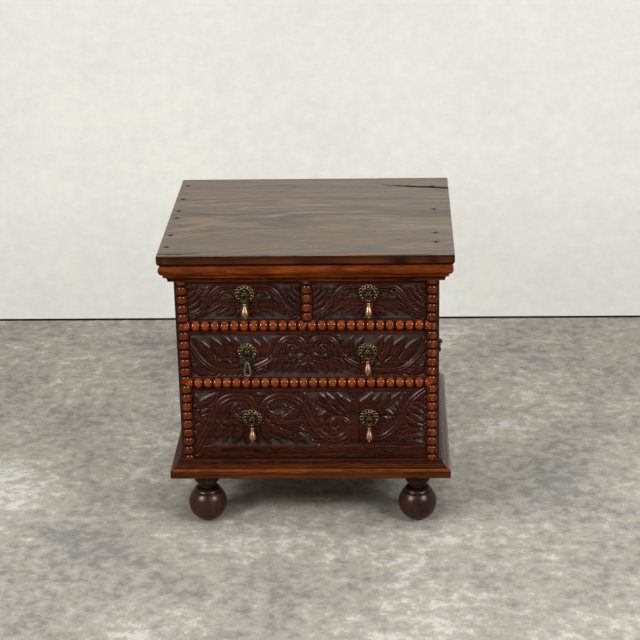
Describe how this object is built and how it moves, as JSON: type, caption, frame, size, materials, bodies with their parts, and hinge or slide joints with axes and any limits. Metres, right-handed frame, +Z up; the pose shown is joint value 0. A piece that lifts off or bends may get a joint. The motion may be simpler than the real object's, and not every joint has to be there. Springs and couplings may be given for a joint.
{
  "type": "small chest of drawers",
  "caption": "Small carved oak chest: short drawers over long ones, bead strings on the rails, moulded lid and plinth, brass drop pulls and turned ball feet.",
  "frame": {"origin": "on the floor, under the middle of the lid", "axes": "+Z up, the drawer fronts face -Y, +X to the right of someone who faces the drawers"},
  "size_m": [0.56, 0.484, 0.586],
  "materials": {
    "oak_case": "dark waxed oak",
    "oak_lid": "worn waxed oak",
    "oak_moulding": "warm polished oak",
    "oak_carved": "almost black polished oak",
    "oak_inner": "dry unpolished oak",
    "bead_wood": "glossy orange-brown turned wood",
    "foot_wood": "dark polished turned wood",
    "brass": "aged cast brass",
    "iron": "dark wrought iron"
  },
  "bodies": {
    "chest": {"side_left": "oak_case", "side_right": "oak_case", "back_boards": "oak_inner", "bottom_board": "oak_inner", "corner_blocks": "oak_inner", "side_runners": "oak_inner", "centre_runner": "oak_inner", "kickers": "oak_inner", "top_rail": "oak_case", "rail_upper": "oak_case", "rail_lower": "oak_case", "bottom_rail": "oak_case", "muntin": "oak_case", "lid_board_front": "oak_lid", "lid_board_rear": "oak_lid", "cornice_front": "oak_moulding", "cornice_left": "oak_moulding", "cornice_right": "oak_moulding", "plinth_front": "oak_moulding", "plinth_left": "oak_moulding", "plinth_right": "oak_moulding", "beads_left": "bead_wood", "beads_right": "bead_wood", "beads_rail_upper": "bead_wood", "beads_rail_lower": "bead_wood", "beads_muntin": "bead_wood", "foot_front_left": "foot_wood", "foot_front_right": "foot_wood", "foot_rear_left": "foot_wood", "foot_rear_right": "foot_wood", "lid_nails": "iron", "ring_staples": "iron"},
    "drawer_top_left": {"drawer_top_left_front": "oak_carved", "drawer_top_left_sides": "oak_inner", "drawer_top_left_back": "oak_inner", "drawer_top_left_bottom": "oak_inner", "drawer_top_left_pulls": "brass"},
    "drop_top_left": {"drop_top_left": "brass"},
    "drawer_top_right": {"drawer_top_right_front": "oak_carved", "drawer_top_right_sides": "oak_inner", "drawer_top_right_back": "oak_inner", "drawer_top_right_bottom": "oak_inner", "drawer_top_right_pulls": "brass"},
    "drop_top_right": {"drop_top_right": "brass"},
    "drawer_middle": {"drawer_middle_front": "oak_carved", "drawer_middle_sides": "oak_inner", "drawer_middle_back": "oak_inner", "drawer_middle_bottom": "oak_inner", "drawer_middle_pulls": "brass"},
    "drop_middle_left": {"drop_middle_left": "iron"},
    "drop_middle_right": {"drop_middle_right": "brass"},
    "drawer_bottom": {"drawer_bottom_front": "oak_carved", "drawer_bottom_sides": "oak_inner", "drawer_bottom_back": "oak_inner", "drawer_bottom_bottom": "oak_inner", "drawer_bottom_pulls": "brass"},
    "drop_bottom_left": {"drop_bottom_left": "brass"},
    "drop_bottom_right": {"drop_bottom_right": "brass"},
    "ring_left": {"ring_left": "iron"},
    "ring_right": {"ring_right": "iron"}
  },
  "joints": [
    {"name": "slide_top_left", "type": "slide", "parent": "chest", "child": "drawer_top_left", "axis": [0, -1, 0], "range_m": [0, 0.3]},
    {"name": "hang_top_left", "type": "hinge", "parent": "drawer_top_left", "child": "drop_top_left", "pos_m": [-0.118, -0.2225, 0.499], "axis": [-1, 0, 0], "range_deg": [0, 110]},
    {"name": "slide_top_right", "type": "slide", "parent": "chest", "child": "drawer_top_right", "axis": [0, -1, 0], "range_m": [0, 0.3]},
    {"name": "hang_top_right", "type": "hinge", "parent": "drawer_top_right", "child": "drop_top_right", "pos_m": [0.118, -0.2225, 0.499], "axis": [-1, 0, 0], "range_deg": [0, 110]},
    {"name": "slide_middle", "type": "slide", "parent": "chest", "child": "drawer_middle", "axis": [0, -1, 0], "range_m": [0, 0.3]},
    {"name": "hang_middle_left", "type": "hinge", "parent": "drawer_middle", "child": "drop_middle_left", "pos_m": [-0.117, -0.2225, 0.3795], "axis": [-1, 0, 0], "range_deg": [0, 110]},
    {"name": "hang_middle_right", "type": "hinge", "parent": "drawer_middle", "child": "drop_middle_right", "pos_m": [0.115, -0.2225, 0.3795], "axis": [-1, 0, 0], "range_deg": [0, 110]},
    {"name": "slide_bottom", "type": "slide", "parent": "chest", "child": "drawer_bottom", "axis": [0, -1, 0], "range_m": [0, 0.3]},
    {"name": "hang_bottom_left", "type": "hinge", "parent": "drawer_bottom", "child": "drop_bottom_left", "pos_m": [-0.112, -0.2225, 0.2395], "axis": [-1, 0, 0], "range_deg": [0, 110]},
    {"name": "hang_bottom_right", "type": "hinge", "parent": "drawer_bottom", "child": "drop_bottom_right", "pos_m": [0.1165, -0.2225, 0.2395], "axis": [-1, 0, 0], "range_deg": [0, 110]},
    {"name": "ring_left_swing", "type": "hinge", "parent": "chest", "child": "ring_left", "pos_m": [-0.259, 0, 0.312], "axis": [0, 1, 0], "range_deg": [0, 120]},
    {"name": "ring_right_swing", "type": "hinge", "parent": "chest", "child": "ring_right", "pos_m": [0.259, 0, 0.312], "axis": [0, -1, 0], "range_deg": [0, 120]}
  ]
}
